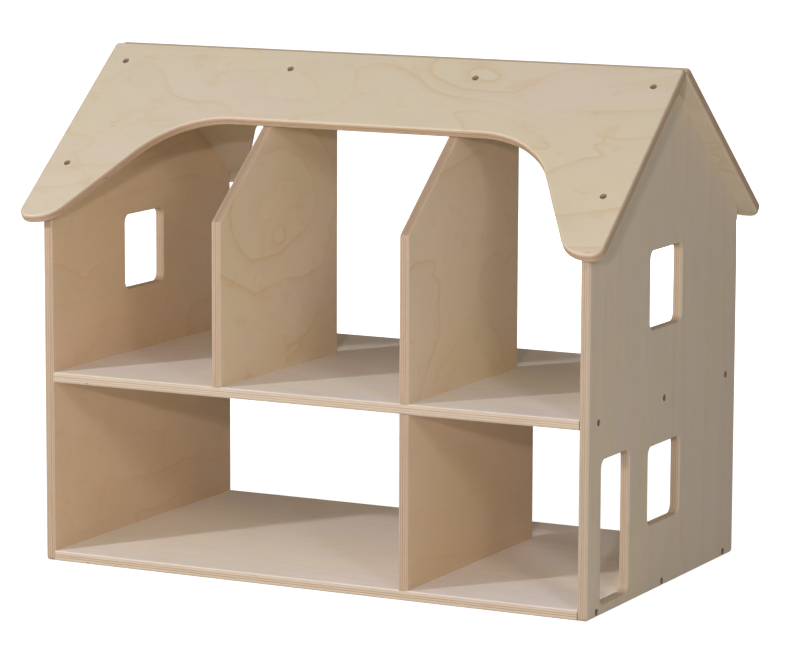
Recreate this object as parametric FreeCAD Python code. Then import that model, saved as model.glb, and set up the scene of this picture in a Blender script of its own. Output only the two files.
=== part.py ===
import FreeCAD, Part
import math
import os

from FreeCAD import Vector

# A plywood dollhouse, open at the front and the back, in mm.
# The origin is on the ground at the middle of the footprint: +X runs along the width,
# +Y from the front to the back, and +Z up.

# ---- driving dimensions ----
body_width = 711.0          # over the outer faces of both gable walls
body_depth = 432.0          # front edge to back edge of the gable walls
wall_height = 423.0         # ground to the eaves corner of a gable wall
apex_height = 598.0         # ground to the tip of a gable wall
board = 12.0                # thickness of every plywood board
edge_round = 3.0            # round-over on every exposed board edge
board_corner = 4.0          # corners of the boards, seen square on

shelf_top = 229.0           # ground to the upper storey's floor surface
left_divider_x = -121.0     # mid-planes of the dividers
right_divider_x = 124.0
upper_divider_back = 78.0   # back edges of the dividers, from the middle of the depth
lower_divider_back = 125.5

window_size = 91.0
upper_window_z = 353.5      # window centres, above the ground
lower_window_z = 125.0
door_width = 77.0
door_top = 178.0
door_setback = 38.0         # from the front edge of the wall to the doorway
opening_corner = 10.0       # corner radius of the windows and the doorway

roof_overhang = 22.0        # past each gable wall
roof_length = 300.0         # down the slope, from the ridge to the eaves
arch_top = 120.0            # down the slope, from the ridge to the top of the arched cut-out
arch_flat_half = 163.0      # half the straight run at the top of the cut-out
arch_shoulder = 121.0       # radius where the straight run turns down
arch_side_angle = 61.0      # degrees, side of the cut-out against the eaves
arch_foot = 42.0            # radius where the side runs out into the eaves
eaves_corner = 14.0
ridge_corner = 5.0

# ---- fastening ----
counterbore_radius = 4.0
counterbore_depth = 6.5
clearance_radius = 2.0
head_radius = 3.7
head_height = 2.3
head_bevel = 0.45           # share of the head's radius and height that its bevel takes
recess_length = 4.0         # the cross for the driver
recess_width = 0.9
recess_depth = 1.4
neck_radius = 1.5
plain_length = 7.5          # from the seat under the head to the first thread
thread_radius = 1.75
core_radius = 1.2
thread_pitch = 1.6
thread_root = 0.1           # flat between two threads
shank_length = 28.0
tip_length = 4.0
pilot_slack = 0.03          # the pilot hole over the thread, all round
pilot_extra = 1.0           # the pilot hole past the screw's tip

wall_screw_y = (-189.0, -2.0, 185.0)
roof_screw_high = 32.0      # down the slope, from the ridge
roof_screw_low = 209.0
upper_foot_screw_y = (-150.0, 20.0)
lower_head_screw_y = (-60.0, 50.0)
lower_foot_screw_y = (-150.0, 60.0)

# ---- worked out from them ----
half_width = body_width / 2
half_depth = body_depth / 2
inner_half = half_width - board
slope = math.atan2(apex_height - wall_height, half_depth)
shelf_underside = shelf_top - board
door_front = -half_depth + door_setback

ORIGIN = Vector(0, 0, 0)
X_AXIS = Vector(1, 0, 0)
Z_AXIS = Vector(0, 0, 1)

os.makedirs("parts", exist_ok=True)


# ---- outlines ----
def rounded_polygon(points, radii):
    """A closed wire through points in one plane, each corner rounded to its own radius."""
    count = len(points)
    starts = []
    arcs = []
    ends = []
    for i in range(count):
        corner = points[i]
        before = (points[i - 1] - corner).normalize()
        after = (points[(i + 1) % count] - corner).normalize()
        radius = radii[i]
        if radius == 0:
            starts.append(corner)
            arcs.append(None)
            ends.append(corner)
            continue
        half_angle = before.getAngle(after) / 2
        tangent = radius / math.tan(half_angle)
        bisector = (before + after).normalize()
        centre = corner + bisector * (radius / math.sin(half_angle))
        middle = centre - bisector * radius
        start = corner + before * tangent
        end = corner + after * tangent
        starts.append(start)
        arcs.append(Part.Arc(start, middle, end).toShape())
        ends.append(end)
    edges = []
    for i in range(count):
        if arcs[i] is not None:
            edges.append(arcs[i])
        next_start = starts[(i + 1) % count]
        if ends[i].distanceToPoint(next_start) > 1e-6:
            edges.append(Part.makeLine(ends[i], next_start))
    return Part.Wire(edges)


def under_roof(point):
    """True on the edge that a roof slope rests on."""
    return abs(point.z + abs(point.y) * math.tan(slope) - apex_height) < 1e-6


def side_points(pairs, x):
    """Points of a gable or divider outline, given as (y, z) pairs, in the plane at x."""
    return [Vector(x, y, z) for y, z in pairs]


def rectangle_pairs(low_y, low_z, high_y, high_z):
    return [(low_y, low_z), (high_y, low_z), (high_y, high_z), (low_y, high_z)]


# ---- boards ----
def ease_faces(solid, normal, square_edges=()):
    """Round every edge of a board's two faces, except those that lie at a square end."""
    span = [v.Point.dot(normal) for v in solid.Vertexes]
    levels = (min(span), max(span))
    chosen = []
    for edge in solid.Edges:
        heights = [v.Point.dot(normal) for v in edge.Vertexes]
        on_face = any(all(abs(h - level) < 1e-6 for h in heights) for level in levels)
        if not on_face:
            continue
        middle = edge.valueAt((edge.FirstParameter + edge.LastParameter) / 2)
        if any(test(middle) for test in square_edges):
            continue
        chosen.append(edge)
    return solid.makeFillet(edge_round, chosen)


def board_from_wires(outline, openings, extrusion):
    solid = Part.Face(outline).extrude(extrusion)
    for opening in openings:
        solid = solid.cut(Part.Face(opening).extrude(extrusion))
    return solid


def make_deck(bottom):
    """A floor or shelf board between the gable walls, square at its two glued ends."""
    solid = Part.makeBox(
        2 * inner_half, body_depth, board, Vector(-inner_half, -half_depth, bottom)
    )
    return ease_faces(solid, Z_AXIS, [lambda p: abs(abs(p.x) - inner_half) < 1e-6])


def make_gable_wall(outer_x, openings):
    """A house-shaped end wall; openings are (y, z) rectangles cut through it."""
    pairs = [
        (-half_depth, 0.0),
        (half_depth, 0.0),
        (half_depth, wall_height),
        (0.0, apex_height),
        (-half_depth, wall_height),
    ]
    radii = [board_corner, board_corner, 0.0, 0.0, 0.0]
    outline = rounded_polygon(side_points(pairs, outer_x), radii)
    holes = []
    for opening in openings:
        points = side_points(rectangle_pairs(*opening), outer_x)
        holes.append(rounded_polygon(points, [opening_corner] * 4))
    inward = -math.copysign(board, outer_x)
    wall = board_from_wires(outline, holes, X_AXIS * inward)
    return ease_faces(wall, X_AXIS, [under_roof])


def window_at(centre_z):
    half = window_size / 2
    return (-half, centre_z - half, half, centre_z + half)


def make_upper_divider(mid_x):
    """Stands on the shelf, follows both roof slopes and stops short of the back."""
    back_height = apex_height - upper_divider_back * math.tan(slope)
    pairs = [
        (-half_depth, shelf_top),
        (upper_divider_back, shelf_top),
        (upper_divider_back, back_height),
        (0.0, apex_height),
        (-half_depth, wall_height),
    ]
    radii = [0.0, 0.0, board_corner, 0.0, board_corner]
    outline = rounded_polygon(side_points(pairs, mid_x - board / 2), radii)
    divider = board_from_wires(outline, [], X_AXIS * board)
    return ease_faces(divider, X_AXIS, [lambda p: abs(p.z - shelf_top) < 1e-6])


def make_lower_divider(mid_x):
    """Fills the height between the floor board and the shelf."""
    pairs = rectangle_pairs(-half_depth, board, lower_divider_back, shelf_underside)
    outline = rounded_polygon(side_points(pairs, mid_x - board / 2), [0.0] * 4)
    divider = board_from_wires(outline, [], X_AXIS * board)
    tests = [
        lambda p: abs(p.z - board) < 1e-6,
        lambda p: abs(p.z - shelf_underside) < 1e-6,
    ]
    return ease_faces(divider, X_AXIS, tests)


def roof_outline():
    """Half widths run along X and the slope runs down -Y, with the ridge on Y = 0."""
    half = half_width + roof_overhang
    side_run = (roof_length - arch_top) / math.tan(math.radians(arch_side_angle))
    shoulder_cut = arch_shoulder * math.tan(math.radians(arch_side_angle) / 2)
    arch_half = arch_flat_half + shoulder_cut
    points = [
        Vector(-half, 0, 0),
        Vector(half, 0, 0),
        Vector(half, -roof_length, 0),
        Vector(arch_half + side_run, -roof_length, 0),
        Vector(arch_half, -arch_top, 0),
        Vector(-arch_half, -arch_top, 0),
        Vector(-arch_half - side_run, -roof_length, 0),
        Vector(-half, -roof_length, 0),
    ]
    radii = [
        ridge_corner,
        ridge_corner,
        eaves_corner,
        arch_foot,
        arch_shoulder,
        arch_shoulder,
        arch_foot,
        eaves_corner,
    ]
    return rounded_polygon(points, radii)


def roof_place(shape, at_back):
    """Tip a flat roof shape to the front slope, or turn it half round for the back."""
    tipped = shape.copy()
    tipped.rotate(ORIGIN, X_AXIS, math.degrees(slope))
    tipped.translate(Z_AXIS * apex_height)
    if at_back:
        tipped.rotate(ORIGIN, Z_AXIS, 180)
    return tipped


def make_roof_board(at_back):
    flat = board_from_wires(roof_outline(), [], Z_AXIS * board)
    return roof_place(ease_faces(flat, Z_AXIS), at_back)


# ---- screws, each made standing on its seat at the origin with the head up ----
def make_screw():
    bevel_start = head_height * (1 - head_bevel)
    points = [
        Vector(0, 0, head_height),
        Vector(head_radius * (1 - head_bevel), 0, head_height),
        Vector(head_radius, 0, bevel_start),
        Vector(head_radius, 0, 0),
        Vector(neck_radius, 0, 0),
        Vector(neck_radius, 0, -plain_length),
    ]
    depth = plain_length
    while depth + thread_pitch < shank_length - tip_length:
        points.append(Vector(core_radius, 0, -depth - thread_root))
        points.append(Vector(thread_radius, 0, -depth - thread_pitch / 2))
        depth += thread_pitch
    points.append(Vector(core_radius, 0, -depth - thread_root))
    points.append(Vector(0, 0, -shank_length))
    points.append(points[0])
    profile = Part.Face(Part.makePolygon(points))
    return profile.revolve(ORIGIN, Z_AXIS, 360).cut(make_drive_recess())


def make_drive_recess():
    """A cross for the driver, sunk into the head."""
    half_length = recess_length / 2
    half_bar = recess_width / 2
    base = head_height - recess_depth
    along = Part.makeBox(
        recess_length, recess_width, recess_depth, Vector(-half_length, -half_bar, base)
    )
    across = Part.makeBox(
        recess_width, recess_length, recess_depth, Vector(-half_bar, -half_length, base)
    )
    return along.fuse(across)


def make_screw_hole():
    """Everything a screw needs removed from the boards around it."""
    skin = board - counterbore_depth
    sink = Part.makeCylinder(counterbore_radius, counterbore_depth)
    through = Part.makeCylinder(clearance_radius, skin, Vector(0, 0, -skin))
    pilot_depth = shank_length + pilot_extra
    pilot = Part.makeCylinder(
        thread_radius + pilot_slack, pilot_depth, Vector(0, 0, -pilot_depth)
    )
    return sink.fuse([through, pilot])


def aimed(surface_point, outward):
    """A placement that puts the head's seat at its depth, with the head facing outward."""
    seat = surface_point - outward * counterbore_depth
    return FreeCAD.Placement(seat, FreeCAD.Rotation(Z_AXIS, outward))


def placed(shape, placement):
    moved = shape.copy()
    moved.Placement = placement.multiply(moved.Placement)
    return moved


def wall_screw_spots(side):
    """side is -1 for the left gable wall and +1 for the right one."""
    spots = []
    for z in (board / 2, shelf_top - board / 2):
        for y in wall_screw_y:
            spots.append(aimed(Vector(side * half_width, y, z), X_AXIS * side))
    return spots


def roof_screw_spots(facing):
    """facing is -1 for the front roof board and +1 for the back one."""
    outward = Vector(0, facing * math.sin(slope), math.cos(slope))
    down = Vector(0, facing * math.cos(slope), -math.sin(slope))
    ridge = Vector(0, 0, apex_height) + outward * board
    wall_mid = half_width - board / 2
    spots = []
    for x in (-wall_mid, left_divider_x, right_divider_x, wall_mid):
        spots.append(aimed(ridge + down * roof_screw_high + X_AXIS * x, outward))
    for x in (-wall_mid, wall_mid):
        spots.append(aimed(ridge + down * roof_screw_low + X_AXIS * x, outward))
    return spots


def upper_foot_spots():
    """Up through the shelf into the feet of both upper dividers."""
    spots = []
    for x in (left_divider_x, right_divider_x):
        for y in upper_foot_screw_y:
            spots.append(aimed(Vector(x, y, shelf_underside), -Z_AXIS))
    return spots


def lower_head_spots():
    """Down through the shelf into the head of the lower divider."""
    return [aimed(Vector(right_divider_x, y, shelf_top), Z_AXIS) for y in lower_head_screw_y]


def lower_foot_spots():
    """Up through the floor board into the foot of the lower divider."""
    return [aimed(Vector(right_divider_x, y, 0), -Z_AXIS) for y in lower_foot_screw_y]


screw_groups = {
    "left_gable_screws": wall_screw_spots(-1),
    "right_gable_screws": wall_screw_spots(1),
    "front_roof_screws": roof_screw_spots(-1),
    "back_roof_screws": roof_screw_spots(1),
    "upper_divider_foot_screws": upper_foot_spots(),
    "lower_divider_head_screws": lower_head_spots(),
    "lower_divider_foot_screws": lower_foot_spots(),
}

doorway = (door_front, board, door_front + door_width, door_top)
boards = {
    "floor_panel": make_deck(0.0),
    "middle_shelf": make_deck(shelf_underside),
    "left_gable_wall": make_gable_wall(-half_width, [window_at(upper_window_z)]),
    "right_gable_wall": make_gable_wall(
        half_width, [window_at(upper_window_z), window_at(lower_window_z), doorway]
    ),
    "upper_left_divider": make_upper_divider(left_divider_x),
    "upper_right_divider": make_upper_divider(right_divider_x),
    "lower_divider": make_lower_divider(right_divider_x),
    "front_roof_panel": make_roof_board(False),
    "back_roof_panel": make_roof_board(True),
}

# Drill every board where a screw's hole meets it.
hole = make_screw_hole()
for spots in screw_groups.values():
    for spot in spots:
        tool = placed(hole, spot)
        for name, solid in boards.items():
            if not solid.BoundBox.intersect(tool.BoundBox):
                continue
            if solid.common(tool).Volume > 1e-3:
                boards[name] = solid.cut(tool)

for name, solid in boards.items():
    solid.exportStep("parts/" + name + ".step")

screw = make_screw()
for name, spots in screw_groups.items():
    group = Part.makeCompound([placed(screw, spot) for spot in spots])
    group.exportStep("parts/" + name + ".step")
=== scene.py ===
import math

import bmesh
import bpy
from mathutils import Matrix, Vector


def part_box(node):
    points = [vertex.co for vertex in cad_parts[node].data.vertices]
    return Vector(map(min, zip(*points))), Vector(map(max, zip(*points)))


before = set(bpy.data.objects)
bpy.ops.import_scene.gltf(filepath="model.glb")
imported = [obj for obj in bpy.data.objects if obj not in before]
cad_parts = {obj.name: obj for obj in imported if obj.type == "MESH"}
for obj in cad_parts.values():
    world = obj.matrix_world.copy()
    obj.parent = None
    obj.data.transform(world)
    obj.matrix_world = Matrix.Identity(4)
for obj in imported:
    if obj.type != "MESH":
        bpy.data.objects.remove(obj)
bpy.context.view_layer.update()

# ---- camera: degrees, metres, and millimetres for the lens ----
CAMERA_AZIMUTH = 26.87
CAMERA_ELEVATION = 8.79
CAMERA_ROLL = 0.24
CAMERA_PLACE = Vector((2.1149, -4.1539, 0.9987))
CAMERA_REACH = 100.0
LENS = 176.99
SENSOR = 36.0

# ---- lights: place, size in metres, watts, colour ----
LIGHTS = {
    "key": ((-1.82, -2.6, 1.5), 0.2, 56.0, (0.90, 0.90, 1.0)),
    "fill": ((1.5, -3.9, 1.26), 0.12, 50.0, (1.0, 0.88, 0.95)),
    "side": ((2.2, -2.1, 1.5), 0.5, 16.0, (0.85, 0.89, 1.0)),
    "behind": ((-0.65, 3.3, 0.15), 0.3, 45.0, (1.0, 0.97, 0.93)),
}
HOUSE = Vector((0, 0, 0.3))     # what every light points at
WORLD_FRONT = (0.41, 0.42, 0.46)
WORLD_BACK = (0.11, 0.09, 0.07)
WORLD_BLEND = 0.4               # the two colours blend while Y goes from minus this to plus this

FLOOR_HALF = 30.0
FLOOR_DROP = 0.0005             # keeps the floor off the house's underside
FLOOR_GREYS = (0.84, 0.88)
GLOW_NEAR = (0.45, 0.86)        # distance from the origin, and how white the floor looks there
GLOW_FAR = (1.2, 1.0)

# ---- the house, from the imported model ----
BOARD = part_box("floor_panel")[1].z
RIDGE_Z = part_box("left_gable_wall")[1].z
ROOF_SLOPE = math.radians(39.01)    # of both roof boards
PLIES = 9
BORE_RADIUS = 0.00405           # a counterbore's wall and a little more
SCREWS_OF = {
    "left_gable_wall": ("left_gable_screws",),
    "right_gable_wall": ("right_gable_screws",),
    "front_roof_panel": ("front_roof_screws",),
    "back_roof_panel": ("back_roof_screws",),
    "middle_shelf": ("upper_divider_foot_screws", "lower_divider_head_screws"),
    "floor_panel": ("lower_divider_foot_screws",),
}

X = Vector((1, 0, 0))
Y = Vector((0, 1, 0))
Z = Vector((0, 0, 1))

# ---- birch: colours ----
ROOF_BIRCH = (0.63, 0.54, 0.38)
WALL_BIRCH = (0.67, 0.49, 0.31)
DIVIDER_BIRCH = (0.70, 0.56, 0.38)
END_BIRCH = (0.63, 0.53, 0.38)
# partly painted light: the decks get paler birch than the other boards, partly for their own paler
# sheets and partly as painted light from above and sheen on their tops
DECK_BIRCH_AND_TOP_LIGHT = (0.87, 0.80, 0.71)
PINK = (1.0, 0.98, 1.0)         # this and the next three are shares of the board's own colour
STRAW = (0.985, 0.985, 0.90)
RING = (0.92, 0.78, 0.53)
FLECK = (0.70, 0.53, 0.36)
CUT_LONG = (0.57, 0.47, 0.32)   # a ply cut along its grain
CUT_END = (0.40, 0.27, 0.16)    # a ply cut across its grain
DECK_CUT = (1.0, 1.0, 1.0)      # how much of that colour each kind of board keeps
WALL_CUT = (0.85, 0.78, 0.72)
END_CUT = (0.86, 0.82, 0.78)
ROOF_CUT = (0.93, 0.84, 0.76)
GLUE_BROWN = (0.27, 0.17, 0.10)
GAP_BROWN = (0.12, 0.075, 0.045)
# painted shade: this dark brown on the counterbore walls stands in for the shade inside the screw
# holes, with a little real burnish of drilled wood
BORE_SHADE_BROWN = (0.17, 0.10, 0.06)
SCRATCH_PALE = (0.86, 0.79, 0.68)

# ---- birch: noise, as cells per metre across and along the grain, detail, roughness ----
STREAKS = (260.0, 5.0, 3.0, 0.6)
FIBRES = (1500.0, 60.0, 2.0, 0.6)
PLY_WAVER = (9.0, 9.0, 2.0, 0.5)
PLY_CLOUDS = (26.0, 26.0, 3.0, 0.6)

# ---- birch: patches, as noise and the two values between which a patch fades in ----
STRAW_PATCHES = ((5.0, 2.2, 3.0, 0.55), (0.35, 0.65))
PINK_PATCHES = ((14.0, 6.0, 2.0, 0.5), (0.52, 0.72))
PORES = ((1900.0, 210.0, 1.0, 0.5), (0.66, 0.78))
FLECKS = ((120.0, 40.0, 1.0, 0.5), (0.70, 0.80))
BLUSHES = ((42.0, 30.0, 3.0, 0.6), (0.56, 0.74))
GAPS = ((90.0, 90.0, 1.0, 0.5), (0.76, 0.785))
SCRATCH_CELLS = (1100.0, 11.0)
SCRATCH_BAND = (0.80, 0.86)
SCRATCH_SLANT = (0.6, 0.8)      # sine and cosine of the angle to the grain
SMUDGE_NOISE = (13.0, 3.0, 0.6)
SMUDGE_BAND = (0.52, 0.72)

# ---- birch: noise seeds, added to a board's own or multiplied by the ply's number ----
BACK_SEED = 11.3
STRAW_SEED = 3.1
PINK_SEED = 7.7
GAP_SEED = 9.1
CLOUD_SEED = 3.7

# ---- birch: how strongly each thing shows, from 0 to 1 ----
PORE_SHOW = 0.22
GLUE_SHOW = 0.45
GAP_SHOW = 0.8
BORE_SHADE_SHOW = 0.75
SCRATCH_SHOW = 0.1
FIBRE_CONTRAST = 0.035
PLY_CONTRAST = 0.04
CLOUD_CONTRAST = 0.14
SMUDGE_BRIGHTNESS = 0.975
FAINTEST_LINE = 0.25            # of a ring line's strength, where it fades
WOOD_ROUGHNESS = (0.46, 0.56)
EDGE_ROUGHER = 0.12
SMUDGE_SMOOTHER = -0.06

# ---- birch: cut plies ----
EDGE_FACING = (0.55, 0.95)      # the veneer ends where the surface turns away this far
PLY_WANDER = 0.3                # how far a glue line wanders, as a share of a ply
PLY_END = 0.05                  # keeps the outermost plies from running past the faces
GLUE_LINE = (0.02, 0.11)        # share of a ply that the glue line darkens, and its soft edge
INNER_PLIES = (0.0022, 0.0042)  # from the board's middle, where the contrast falls off
OUTER_CONTRAST = 0.35
END_BAND = (0.15, 0.9)
PALEST_END = 0.4

# ---- birch: ring figure ----
RING_NOISE = (1.0, 3.0, 0.42)   # scale, detail, roughness
LINE_ZONES = ((1.7, 1.0), (0.40, 0.62))
FLECK_ZONES = ((2.6, 1.0), (0.60, 0.70))
RING_STEP = 0.0015              # metres between the samples that give the slope
RING_FLATTEST = 0.004           # least rise over a step, so that flat ground has no wide line
SOFT_WIDTH = 0.014
CRISP_WIDTH = 0.0042
TAIL_WIDTH = 0.003
SOFT_SHARE = 0.45
EYE_SQUASH = 0.6                # an eye's length across the grain over its length along it

# Figures: size and stretch of the slow height field, its wobble, rings from its height,
# rings per metre across the grain, then the strength of each mark. An eye is a hill of
# rings: its place across and along the grain, its reach, and how many rings it has.
BOWLS = dict(size=9.0, stretch=1.8, wobble=0.4, rings=2.2, lean=1.5,
             line=0.6, step=0.015, streak=0.03, fleck=0.35, blush=0.4,
             eyes=((0.43, -0.085, 0.105, 3.2), (0.44, -0.044, 0.013, 0.9),
                   (0.388, -0.069, 0.012, 0.9), (0.25, -0.24, 0.035, 1.5)))
ARCHES = dict(size=8.0, stretch=1.6, wobble=0.5, rings=3.0, lean=7.0,
              line=0.55, step=0.015, streak=0.03, fleck=0.25, blush=0.35,
              eyes=((0.215, -0.07, 0.075, 3.2),))
WAVES = dict(size=6.0, stretch=1.6, wobble=0.5, rings=4.0, lean=12.0,
             line=0.4, step=0.02, streak=0.03, fleck=0.25, blush=0.3)
WANDERING = dict(size=8.0, stretch=2.2, wobble=0.6, rings=4.5, lean=12.0,
                 line=0.5, step=0.015, streak=0.03, fleck=0.3, blush=0.35,
                 eyes=((0.344, 0.124, 0.04, 1.6), (0.30, -0.10, 0.035, 1.2)))
STRAIGHT = dict(size=10.0, stretch=5.0, wobble=0.3, rings=4.0, lean=16.0,
                line=0.2, step=0.02, streak=0.07, fleck=0.1, blush=0.15)
QUIET = dict(size=9.0, stretch=4.0, wobble=0.3, rings=5.0, lean=14.0,
             line=0.2, step=0.015, streak=0.04, fleck=0.15, blush=0.2)

BUMP_STRENGTH = 0.3
WOOD_BUMP = 0.0003
STEEL_BUMP = 0.00005


def middle_of(node):
    low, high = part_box(node)
    return (low + high) / 2


# ---- shader graphs ----
class Graph:
    """Short ways to add nodes to one material. A value is a number, a colour or a socket."""

    def __init__(self, name):
        self.material = bpy.data.materials.new(name)
        self.material.use_nodes = True
        self.tree = self.material.node_tree
        self.shader = self.tree.nodes["Principled BSDF"]

    def feed(self, socket, value):
        if isinstance(value, bpy.types.NodeSocket):
            self.tree.links.new(value, socket)
        else:
            socket.default_value = value

    def add(self, kind, values, **settings):
        node = self.tree.nodes.new(kind)
        for key, value in settings.items():
            setattr(node, key, value)
        for key, value in values.items():
            self.feed(node.inputs[key], value)
        return node

    def math(self, operation, first, second=0.0, third=0.0):
        values = {0: first, 1: second, 2: third}
        return self.add("ShaderNodeMath", values, operation=operation).outputs[0]

    def add_up(self, first, second):
        return self.math("ADD", first, second)

    def times(self, first, second):
        return self.math("MULTIPLY", first, second)

    def flip(self, value):
        return self.math("SUBTRACT", 1.0, value)

    def dot(self, vector, axis):
        values = {0: vector, 1: tuple(axis)}
        return self.add("ShaderNodeVectorMath", values, operation="DOT_PRODUCT").outputs["Value"]

    def vector(self, x, y, z):
        return self.add("ShaderNodeCombineXYZ", {0: x, 1: y, 2: z}).outputs[0]

    def noise(self, vector, scale=1.0, detail=2.0, roughness=0.5, distortion=0.0):
        values = {
            "Vector": vector,
            "Scale": scale,
            "Detail": detail,
            "Roughness": roughness,
            "Distortion": distortion,
        }
        return self.add("ShaderNodeTexNoise", values).outputs["Fac"]

    def random(self, number):
        node = self.add("ShaderNodeTexWhiteNoise", {"W": number}, noise_dimensions="1D")
        return node.outputs["Value"]

    def ramp(self, value, low, high, to_low=0.0, to_high=1.0):
        """A smooth step from to_low to to_high while value goes from low to high."""
        values = {1: low, 2: high, 3: to_low, 4: to_high, 0: value}
        node = self.add("ShaderNodeMapRange", values, interpolation_type="SMOOTHSTEP")
        return node.outputs[0]

    def between(self, value, low, high):
        """value from 0..1 spread evenly over low..high."""
        return self.math("MULTIPLY_ADD", value, high - low, low)

    def mix(self, factor, first, second, blend="MIX"):
        node = self.add(
            "ShaderNodeMix",
            {0: factor, 6: first, 7: second},
            data_type="RGBA",
            blend_type=blend,
        )
        return node.outputs[2]

    def brightness(self, paint, amount):
        """paint times a grey of that amount."""
        grey = self.add("ShaderNodeCombineColor", {0: amount, 1: amount, 2: amount}).outputs[0]
        return self.mix(1.0, paint, grey, "MULTIPLY")

    def contrast(self, paint, value, amount):
        """paint made that much darker to that much lighter as value goes from 0 to 1."""
        return self.brightness(paint, self.between(value, 1.0 - amount, 1.0 + amount))

    def pile(self, layers):
        """The sum of (value, weight) layers."""
        total = 0.0
        for value, weight in layers:
            total = self.math("MULTIPLY_ADD", value, weight, total)
        return total

    def finish(self, paint, roughness, height, bump_distance):
        bump = self.add(
            "ShaderNodeBump",
            {"Strength": BUMP_STRENGTH, "Distance": bump_distance, "Height": height},
        )
        self.feed(self.shader.inputs["Base Color"], paint)
        self.feed(self.shader.inputs["Roughness"], roughness)
        self.feed(self.shader.inputs["Normal"], bump.outputs["Normal"])
        return self.material


def colour(red, green, blue):
    return (red, green, blue, 1.0)


# ---- plywood ----
def toned(tint, shares):
    """tint with each channel multiplied by its share."""
    return colour(*(channel * share for channel, share in zip(tint, shares)))


def screw_middles(node):
    """The middle of each separate screw of a node."""
    mesh = bmesh.new()
    mesh.from_mesh(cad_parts[node].data)
    bmesh.ops.remove_doubles(mesh, verts=mesh.verts, dist=1e-6)
    middles = []
    reached = set()
    for start in mesh.verts:
        if start.index in reached:
            continue
        reached.add(start.index)
        island = [start]
        for vert in island:
            for edge in vert.link_edges:
                other = edge.other_vert(vert)
                if other.index not in reached:
                    reached.add(other.index)
                    island.append(other)
        low = Vector(min(vert.co[axis] for vert in island) for axis in range(3))
        high = Vector(max(vert.co[axis] for vert in island) for axis in range(3))
        middles.append((low + high) / 2)
    mesh.free()
    return middles


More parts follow.
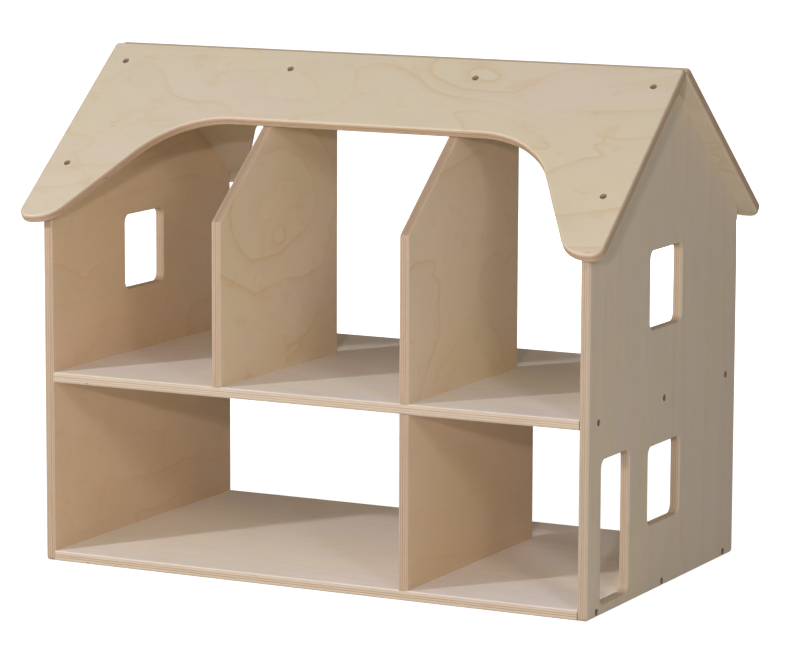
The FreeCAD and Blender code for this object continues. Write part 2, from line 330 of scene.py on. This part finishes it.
class Plywood(Graph):
    """Nine-ply birch board: veneer figure on its faces, bare plies on its edges."""

    def __init__(self, node, through, grain, middle, seed):
        super().__init__(node + "_plywood")
        self.node = node
        self.seed = seed
        self.grain = grain
        self.across = through.cross(grain)
        place = self.add("ShaderNodeTexCoord", {})
        normal = place.outputs["Normal"]
        self.position = place.outputs["Object"]
        self.depth = self.math("SUBTRACT", self.dot(self.position, through), middle.dot(through))
        self.along = self.dot(self.position, grain)
        self.side = self.dot(self.position, self.across)
        self.faces_grain = self.math("ABSOLUTE", self.dot(normal, grain))
        self.faces_across = self.math("ABSOLUTE", self.dot(normal, self.across))
        facing = self.math("ABSOLUTE", self.dot(normal, through))
        self.on_edge = self.flip(self.ramp(facing, *EDGE_FACING))

        # Each face of the board has a veneer of its own.
        back_face = self.math("GREATER_THAN", self.depth, 0.0)
        self.face_seed = self.math("MULTIPLY_ADD", back_face, BACK_SEED, seed)

    def cells(self, scales, seed):
        """Noise that is stretched along the grain."""
        across, along, detail, roughness = scales
        place = self.vector(self.times(self.side, across), self.times(self.along, along), seed)
        return self.noise(place, 1.0, detail, roughness)

    def patches(self, mark, seed):
        scales, band = mark
        return self.ramp(self.cells(scales, seed), *band)

    def zones(self, slow, mark):
        """Patches as large as the ring figure's hills."""
        noise, band = mark
        return self.ramp(self.noise(slow, *noise), *band)

    def build(self, tint, cut_tint, style):
        """The whole material; returns it."""
        self.lay_plies()
        self.lay_grain()
        wood = self.mix(self.on_edge, self.veneer(tint, style), self.cut_plies(cut_tint))
        # painted shade: the counterbore walls are darkened as if shade fell into the screw holes
        wood = self.mix(self.times(self.bore_walls(), BORE_SHADE_SHOW), wood, colour(*BORE_SHADE_BROWN))
        wood = self.handled(wood)
        rough = self.between(self.streaks, *WOOD_ROUGHNESS)
        rough = self.math("MULTIPLY_ADD", self.smudge, SMUDGE_SMOOTHER, rough)
        rough = self.math("MULTIPLY_ADD", self.on_edge, EDGE_ROUGHER, rough)
        height = self.pile((
            (self.fibres, 0.35),
            (self.streaks, 0.35),
            (self.pores, -0.5),
            (self.scratches, -0.4),
            (self.glue, -0.6),
            (self.gaps, -2.0),
            (self.times(self.end_grain, self.on_edge), -0.5),
        ))
        return self.finish(wood, rough, height, WOOD_BUMP)

    # plies
    def lay_plies(self):
        """Number the plies through the thickness, and find glue lines, end grain and voids."""
        waver = self.cells(PLY_WAVER, self.seed)
        level = self.math("MULTIPLY_ADD", self.depth, PLIES / BOARD, PLIES / 2)
        level = self.add_up(level, self.between(waver, -PLY_WANDER, PLY_WANDER))
        level = self.math("MINIMUM", self.math("MAXIMUM", level, PLY_END), PLIES - PLY_END)
        self.ply = self.math("FLOOR", level)
        crossed = self.math("MODULO", self.ply, 2.0)
        self.end_grain = self.add_up(
            self.times(self.faces_grain, self.flip(crossed)),
            self.times(self.faces_across, crossed),
        )
        within = self.math("FRACT", level)
        to_glue = self.math("MINIMUM", within, self.flip(within))
        self.glue = self.times(self.flip(self.ramp(to_glue, *GLUE_LINE)), self.on_edge)
        gaps = self.times(self.patches(GAPS, self.times(self.ply, GAP_SEED)), crossed)
        self.gaps = self.times(gaps, self.on_edge)

    def cut_plies(self, cut_tint):
        """Colour of the cut edges; the middle plies show the most contrast."""
        ply_random = self.random(self.add_up(self.ply, self.seed))
        inner = self.ramp(self.math("ABSOLUTE", self.depth), *INNER_PLIES, 1.0, OUTER_CONTRAST)
        end = self.ramp(self.end_grain, *END_BAND)
        darker = self.times(end, self.between(ply_random, PALEST_END, 1.0))
        darker = self.times(darker, inner)
        edge = self.mix(darker, colour(*CUT_LONG), colour(*CUT_END))
        edge = self.contrast(edge, ply_random, PLY_CONTRAST)
        clouds = self.cells(PLY_CLOUDS, self.times(self.ply, CLOUD_SEED))
        edge = self.contrast(edge, clouds, CLOUD_CONTRAST)
        glued = self.times(self.times(self.glue, inner), GLUE_SHOW)
        edge = self.mix(glued, edge, colour(*GLUE_BROWN))
        edge = self.mix(self.times(self.gaps, GAP_SHOW), edge, colour(*GAP_BROWN))
        return self.mix(1.0, edge, colour(*cut_tint), "MULTIPLY")

    def bore_walls(self):
        """1 inside the counterbores of the board, 0 outside; it places the painted shade of the
        holes.
        """
        nearest = 1.0
        for screws in SCREWS_OF.get(self.node, ()):
            for middle in screw_middles(screws):
                off = self.math("SUBTRACT", self.side, middle.dot(self.across))
                ahead = self.math("SUBTRACT", self.along, middle.dot(self.grain))
                far = self.math("MULTIPLY_ADD", off, off, self.times(ahead, ahead))
                nearest = self.math("MINIMUM", far, nearest)
        return self.math("LESS_THAN", nearest, BORE_RADIUS * BORE_RADIUS)

    # veneer
    def lay_grain(self):
        """The fine grain, which colour, roughness and relief share."""
        self.streaks = self.cells(STREAKS, self.face_seed)
        self.fibres = self.cells(FIBRES, self.face_seed)
        self.pores = self.patches(PORES, self.face_seed)

    def ring_height(self, side, along, style):
        """A slow height field over a face; the ring lines are its contours."""
        slow = self.vector(
            self.times(side, style["size"]),
            self.times(along, style["size"] / style["stretch"]),
            self.face_seed,
        )
        field = self.noise(slow, *RING_NOISE, style["wobble"])
        height = self.times(field, style["rings"])
        height = self.add_up(height, self.times(side, style["lean"]))
        for eye_side, eye_along, reach, rings in style.get("eyes", ()):
            across = self.math("SUBTRACT", side, eye_side)
            length = self.times(self.math("SUBTRACT", along, eye_along), EYE_SQUASH)
            far = self.add_up(self.times(across, across), self.times(length, length))
            hill = self.math("EXPONENT", self.times(far, -1.0 / (reach * reach)))
            height = self.math("MULTIPLY_ADD", hill, rings, height)
        return height, slow

    def ring_lines(self, style):
        """Lines of even width on the contours, the phase from line to line, and the slow place."""
        height, slow = self.ring_height(self.side, self.along, style)
        beside = self.ring_height(self.add_up(self.side, RING_STEP), self.along, style)[0]
        ahead = self.ring_height(self.side, self.add_up(self.along, RING_STEP), style)[0]
        rise_side = self.math("SUBTRACT", beside, height)
        rise_along = self.math("SUBTRACT", ahead, height)
        squares = self.add_up(
            self.times(rise_side, rise_side), self.times(rise_along, rise_along)
        )
        steepness = self.math("MAXIMUM", self.math("SQRT", squares), RING_FLATTEST)
        phase = self.math("FRACT", height)
        before = self.times(self.math("DIVIDE", self.flip(phase), steepness), RING_STEP)
        after = self.times(self.math("DIVIDE", phase, steepness), RING_STEP)
        soft = self.flip(self.ramp(before, 0.0, SOFT_WIDTH))
        crisp = self.flip(self.ramp(before, 0.0, CRISP_WIDTH))
        tail = self.flip(self.ramp(after, 0.0, TAIL_WIDTH))
        line = self.pile(((crisp, 1 - SOFT_SHARE), (soft, SOFT_SHARE)))
        return self.math("MAXIMUM", line, tail), phase, slow

    def veneer(self, tint, style):
        """Colour of the board's two faces."""
        line, phase, slow = self.ring_lines(style)
        shown = self.zones(slow, LINE_ZONES)
        line = self.times(line, self.between(shown, FAINTEST_LINE, 1.0))
        straw = self.patches(STRAW_PATCHES, self.add_up(self.face_seed, STRAW_SEED))
        pink = self.patches(PINK_PATCHES, self.add_up(self.face_seed, PINK_SEED))
        blushes = self.patches(BLUSHES, self.face_seed)
        flecks = self.times(self.patches(FLECKS, self.face_seed), self.zones(slow, FLECK_ZONES))
        ring = toned(tint, RING)

        wood = self.mix(straw, colour(*tint), toned(tint, STRAW))
        wood = self.mix(pink, wood, toned(tint, PINK))
        wood = self.brightness(wood, self.between(phase, 1.0 + style["step"], 1.0))
        wood = self.mix(self.times(line, style["line"]), wood, ring)
        wood = self.contrast(wood, self.streaks, style["streak"])
        wood = self.contrast(wood, self.fibres, FIBRE_CONTRAST)
        wood = self.mix(self.times(self.pores, PORE_SHOW), wood, ring)
        wood = self.mix(self.times(blushes, style["blush"]), wood, ring)
        return self.mix(self.times(flecks, style["fleck"]), wood, toned(tint, FLECK))

    def handled(self, wood):
        """Wear: soft smudges and a few hairline scratches that run aslant to the grain."""
        self.smudge = self.ramp(self.noise(self.position, *SMUDGE_NOISE), *SMUDGE_BAND)
        wood = self.brightness(wood, self.between(self.smudge, 1.0, SMUDGE_BRIGHTNESS))
        sine, cosine = SCRATCH_SLANT
        aslant = self.pile(((self.along, sine), (self.side, cosine)))
        ahead = self.pile(((self.side, -sine), (self.along, cosine)))
        narrow, long = SCRATCH_CELLS
        place = self.vector(self.times(aslant, narrow), self.times(ahead, long), self.face_seed)
        self.scratches = self.ramp(self.noise(place, detail=0.0), *SCRATCH_BAND)
        return self.mix(self.times(self.scratches, SCRATCH_SHOW), wood, colour(*SCRATCH_PALE))


front_slope = Vector((0, -math.sin(ROOF_SLOPE), math.cos(ROOF_SLOPE)))
back_slope = Vector((0, math.sin(ROOF_SLOPE), math.cos(ROOF_SLOPE)))
ridge = Vector((0, 0, RIDGE_Z))
half_board = BOARD / 2

# Each board: the way through it, the way of its grain, a point midway through it, its seed,
# its colour, the colour of its cut edges, and its figure.
boards = {
    # the decks' paler tint is partly their own birch and partly painted light from above and sheen
    "floor_panel": (Z, X, middle_of("floor_panel"), 1.3, DECK_BIRCH_AND_TOP_LIGHT, DECK_CUT, QUIET),
    "middle_shelf": (Z, X, middle_of("middle_shelf"), 2.9, DECK_BIRCH_AND_TOP_LIGHT, DECK_CUT, QUIET),
    "left_gable_wall": (
        X, Y, middle_of("left_gable_wall"), 4.2, WALL_BIRCH, WALL_CUT, WAVES),
    "right_gable_wall": (
        X, Z, middle_of("right_gable_wall"), 5.6, END_BIRCH, END_CUT, STRAIGHT),
    "upper_left_divider": (
        X, Y, middle_of("upper_left_divider"), 6.8, DIVIDER_BIRCH, WALL_CUT, BOWLS),
    "upper_right_divider": (
        X, Y, middle_of("upper_right_divider"), 8.1, DIVIDER_BIRCH, WALL_CUT, ARCHES),
    "lower_divider": (X, Y, middle_of("lower_divider"), 9.7, WALL_BIRCH, WALL_CUT, QUIET),
    "front_roof_panel": (
        front_slope, X, ridge + front_slope * half_board, 12.4, ROOF_BIRCH, ROOF_CUT, WANDERING),
    "back_roof_panel": (
        back_slope, X, ridge + back_slope * half_board, 14.2, ROOF_BIRCH, ROOF_CUT, WANDERING),
}


# ---- screws ----
ZINC_DULL = (0.40, 0.37, 0.33)
ZINC_BRIGHT = (0.56, 0.53, 0.48)
STAIN_BROWN = (0.24, 0.18, 0.13)


def screw_steel():
    graph = Graph("dull_zinc")
    position = graph.add("ShaderNodeTexCoord", {}).outputs["Object"]
    cloud = graph.noise(position, 420.0, 3.0, 0.6)
    fine = graph.noise(position, 2600.0, 2.0, 0.6)
    stain = graph.ramp(graph.noise(position, 900.0, 2.0, 0.5), 0.5, 0.72)
    metal = graph.mix(cloud, colour(*ZINC_DULL), colour(*ZINC_BRIGHT))
    metal = graph.mix(graph.times(stain, 0.6), metal, colour(*STAIN_BROWN))
    rough = graph.math("MULTIPLY_ADD", stain, 0.2, graph.between(cloud, 0.28, 0.42))
    graph.shader.inputs["Metallic"].default_value = 1.0
    height = graph.math("MULTIPLY_ADD", stain, 0.5, fine)
    return graph.finish(metal, rough, height, STEEL_BUMP)


def give(obj, material):
    for slot in obj.material_slots:
        slot.material = material


for name, (through, grain, middle, seed, tint, cut_tint, style) in boards.items():
    wood = Plywood(name, through, grain, middle, seed)
    give(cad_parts[name], wood.build(tint, cut_tint, style))

steel = screw_steel()
for name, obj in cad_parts.items():
    if name not in boards:
        give(obj, steel)


# ---- studio ----
def pale_floor():
    """Plain pale floor that goes over into the white surround about a metre out."""
    graph = Graph("studio_floor")
    position = graph.add("ShaderNodeTexCoord", {}).outputs["Object"]
    darker, lighter = (colour(grey, grey, grey) for grey in FLOOR_GREYS)
    tone = graph.mix(graph.noise(position, 3.0), darker, lighter)
    graph.feed(graph.shader.inputs["Base Color"], tone)
    graph.shader.inputs["Roughness"].default_value = 0.8
    graph.shader.inputs["Specular IOR Level"].default_value = 0.1
    out = graph.add("ShaderNodeVectorMath", {0: position}, operation="LENGTH").outputs["Value"]
    glow = graph.ramp(out, GLOW_NEAR[0], GLOW_FAR[0], GLOW_NEAR[1], GLOW_FAR[1])
    seen = graph.add("ShaderNodeLightPath", {}).outputs["Is Camera Ray"]
    graph.shader.inputs["Emission Color"].default_value = colour(1, 1, 1)
    graph.feed(graph.shader.inputs["Emission Strength"], graph.times(glow, seen))
    return graph.material


def make_floor():
    half = FLOOR_HALF
    corners = [(-half, -half, 0), (half, -half, 0), (half, half, 0), (-half, half, 0)]
    mesh = bpy.data.meshes.new("studio_floor")
    mesh.from_pydata(corners, [], [(0, 1, 2, 3)])
    mesh.materials.append(pale_floor())
    floor = bpy.data.objects.new("studio_floor", mesh)
    floor.location.z = -FLOOR_DROP
    bpy.context.scene.collection.objects.link(floor)


def make_light(name, place, size, watts, tint):
    """A round soft light that points at the house; one behind the house adds no gloss."""
    data = bpy.data.lights.new(name, "AREA")
    data.shape = "DISK"
    data.size = size
    data.energy = watts
    data.color = tint
    light = bpy.data.objects.new(name, data)
    light.location = place
    light.rotation_euler = (HOUSE - place).to_track_quat("-Z", "Y").to_euler()
    light.visible_camera = False
    light.visible_glossy = place.y < 0
    bpy.context.scene.collection.objects.link(light)


def make_world():
    """A surround that looks white and lights the front and the back differently."""
    world = bpy.data.worlds.new("studio")
    world.use_nodes = True
    tree = world.node_tree
    direction = tree.nodes.new("ShaderNodeTexCoord")
    parts = tree.nodes.new("ShaderNodeSeparateXYZ")
    tree.links.new(direction.outputs["Generated"], parts.inputs[0])
    backward = tree.nodes.new("ShaderNodeMapRange")
    backward.interpolation_type = "SMOOTHSTEP"
    backward.inputs["From Min"].default_value = -WORLD_BLEND
    backward.inputs["From Max"].default_value = WORLD_BLEND
    tree.links.new(parts.outputs["Y"], backward.inputs["Value"])
    cast = tree.nodes.new("ShaderNodeMix")
    cast.data_type = "RGBA"
    tree.links.new(backward.outputs[0], cast.inputs[0])
    cast.inputs[6].default_value = colour(*WORLD_FRONT)
    cast.inputs[7].default_value = colour(*WORLD_BACK)
    path = tree.nodes.new("ShaderNodeLightPath")
    seen = tree.nodes.new("ShaderNodeMix")
    seen.data_type = "RGBA"
    tree.links.new(path.outputs["Is Camera Ray"], seen.inputs[0])
    tree.links.new(cast.outputs[2], seen.inputs[6])
    seen.inputs[7].default_value = colour(1, 1, 1)
    tree.links.new(seen.outputs[2], tree.nodes["Background"].inputs["Color"])
    bpy.context.scene.world = world


def make_camera():
    azimuth = math.radians(CAMERA_AZIMUTH)
    elevation = math.radians(CAMERA_ELEVATION)
    forward = Vector((
        -math.sin(azimuth) * math.cos(elevation),
        math.cos(azimuth) * math.cos(elevation),
        -math.sin(elevation),
    ))
    right = Vector((math.cos(azimuth), math.sin(azimuth), 0.0))
    up = right.cross(forward)
    turn = Matrix((right, up, -forward)).transposed()
    turn = turn @ Matrix.Rotation(math.radians(CAMERA_ROLL), 3, "Z")
    data = bpy.data.cameras.new("camera")
    data.sensor_width = SENSOR
    data.lens = LENS
    data.clip_end = CAMERA_REACH
    camera = bpy.data.objects.new("camera", data)
    camera.matrix_world = Matrix.Translation(CAMERA_PLACE) @ turn.to_4x4()
    bpy.context.scene.collection.objects.link(camera)
    bpy.context.scene.camera = camera


make_floor()
for name, (place, size, watts, tint) in LIGHTS.items():
    make_light(name, Vector(place), size, watts, tint)
make_world()
make_camera()
bpy.context.scene.view_settings.view_transform = "Standard"
